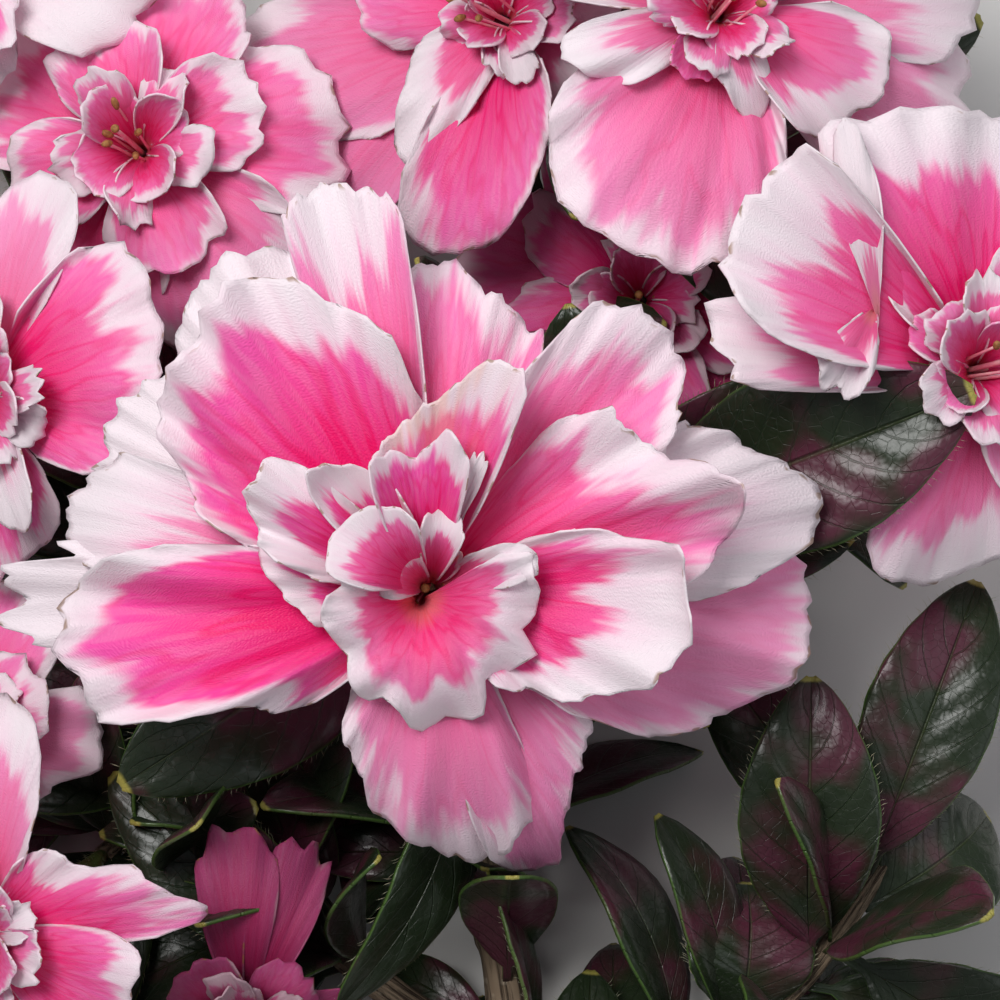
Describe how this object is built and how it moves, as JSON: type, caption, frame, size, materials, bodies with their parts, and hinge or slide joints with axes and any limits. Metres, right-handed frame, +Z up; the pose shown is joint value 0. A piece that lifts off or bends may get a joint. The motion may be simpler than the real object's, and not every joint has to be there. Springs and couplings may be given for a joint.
{
  "type": "cut azalea flowering spray",
  "caption": "Cut spray of a double-flowered azalea: a woody stem with side shoots, large ruffled pink and white blooms and glossy dark green leaves, lying down with the blooms facing up.",
  "frame": {"origin": "on the surface the spray lies on, under the middle of its box", "axes": "+Z up, the way the blooms face; +Y from the cut end of the stem toward the tips of the shoots; +X to the right as seen from the cut end"},
  "size_m": [0.172, 0.229, 0.0778],
  "materials": {
    "petal": "soft satin petal, deep pink at the heart and white at the ruffled margin",
    "leaf": "glossy leathery leaf, dark green with a bronze flush",
    "green_stalk": "matt young green, flushed red, finely haired",
    "bark": "matt grey-brown bark with fine cracks"
  },
  "bodies": {
    "root": {"stem": "bark", "bough_left": "bark", "bough_right": "bark", "shoot_behind": "bark", "shoot_between": "bark", "shoot_centre": "bark", "shoot_far_left": "bark", "shoot_leafy": "bark", "shoot_left": "bark", "shoot_low_left": "bark", "shoot_right": "bark", "shoot_top": "bark", "shoot_top_left": "bark", "shoot_top_right": "bark", "shoot_under_left": "bark", "stalk_behind": "green_stalk", "stalk_between": "green_stalk", "stalk_centre": "green_stalk", "stalk_far_left": "green_stalk", "stalk_left": "green_stalk", "stalk_low_left": "green_stalk", "stalk_right": "green_stalk", "stalk_top": "green_stalk", "stalk_top_left": "green_stalk", "stalk_top_right": "green_stalk", "stalk_under_left": "green_stalk", "bloom_behind": "petal", "bloom_between": "petal", "bloom_centre": "petal", "bloom_far_left": "petal", "bloom_left": "petal", "bloom_low_left": "petal", "bloom_right": "petal", "bloom_top": "petal", "bloom_top_left": "petal", "bloom_top_right": "petal", "bloom_under_left": "petal", "leaf_1": "leaf", "leaf_2": "leaf", "leaf_3": "leaf", "leaf_4": "leaf", "leaf_5": "leaf", "leaf_6": "leaf", "leaf_7": "leaf", "leaf_8": "leaf", "leaf_9": "leaf", "leaf_10": "leaf", "leaf_11": "leaf", "leaf_12": "leaf", "leaf_13": "leaf", "leaf_14": "leaf", "leaf_15": "leaf", "leaf_16": "leaf", "leaf_17": "leaf", "leaf_18": "leaf", "leaf_19": "leaf", "leaf_20": "leaf", "leaf_21": "leaf", "leaf_22": "leaf", "leaf_23": "leaf"}
  },
  "joints": []
}
